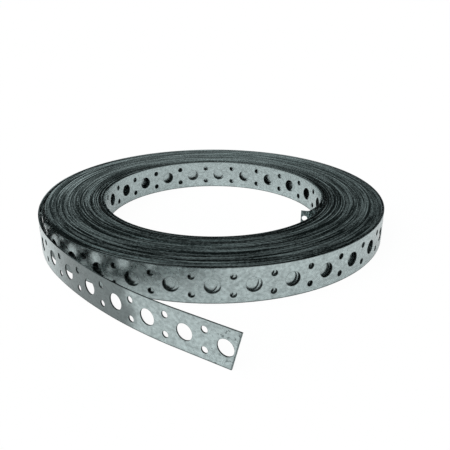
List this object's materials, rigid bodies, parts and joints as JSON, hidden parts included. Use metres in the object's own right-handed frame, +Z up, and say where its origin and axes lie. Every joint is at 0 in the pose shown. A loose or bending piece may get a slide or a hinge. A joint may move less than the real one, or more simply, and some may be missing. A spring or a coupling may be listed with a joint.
{
  "type": "coil of perforated steel strap",
  "caption": "Flat coil of galvanised perforated steel strap with a row of large holes and paired small holes, its free tail opening away from the coil and a kinked inner end",
  "frame": {"origin": "on the floor, on the axis of the coil's front half turns", "axes": "+Z is up, along the coil's axis; +X runs along the straight end of the free tail, toward its cut; the tail lies on the -Y side"},
  "size_m": [0.2239, 0.2445, 0.02],
  "materials": {
    "galvanised_steel": "satin"
  },
  "bodies": {
    "root": {"strap": "galvanised_steel"}
  },
  "joints": []
}
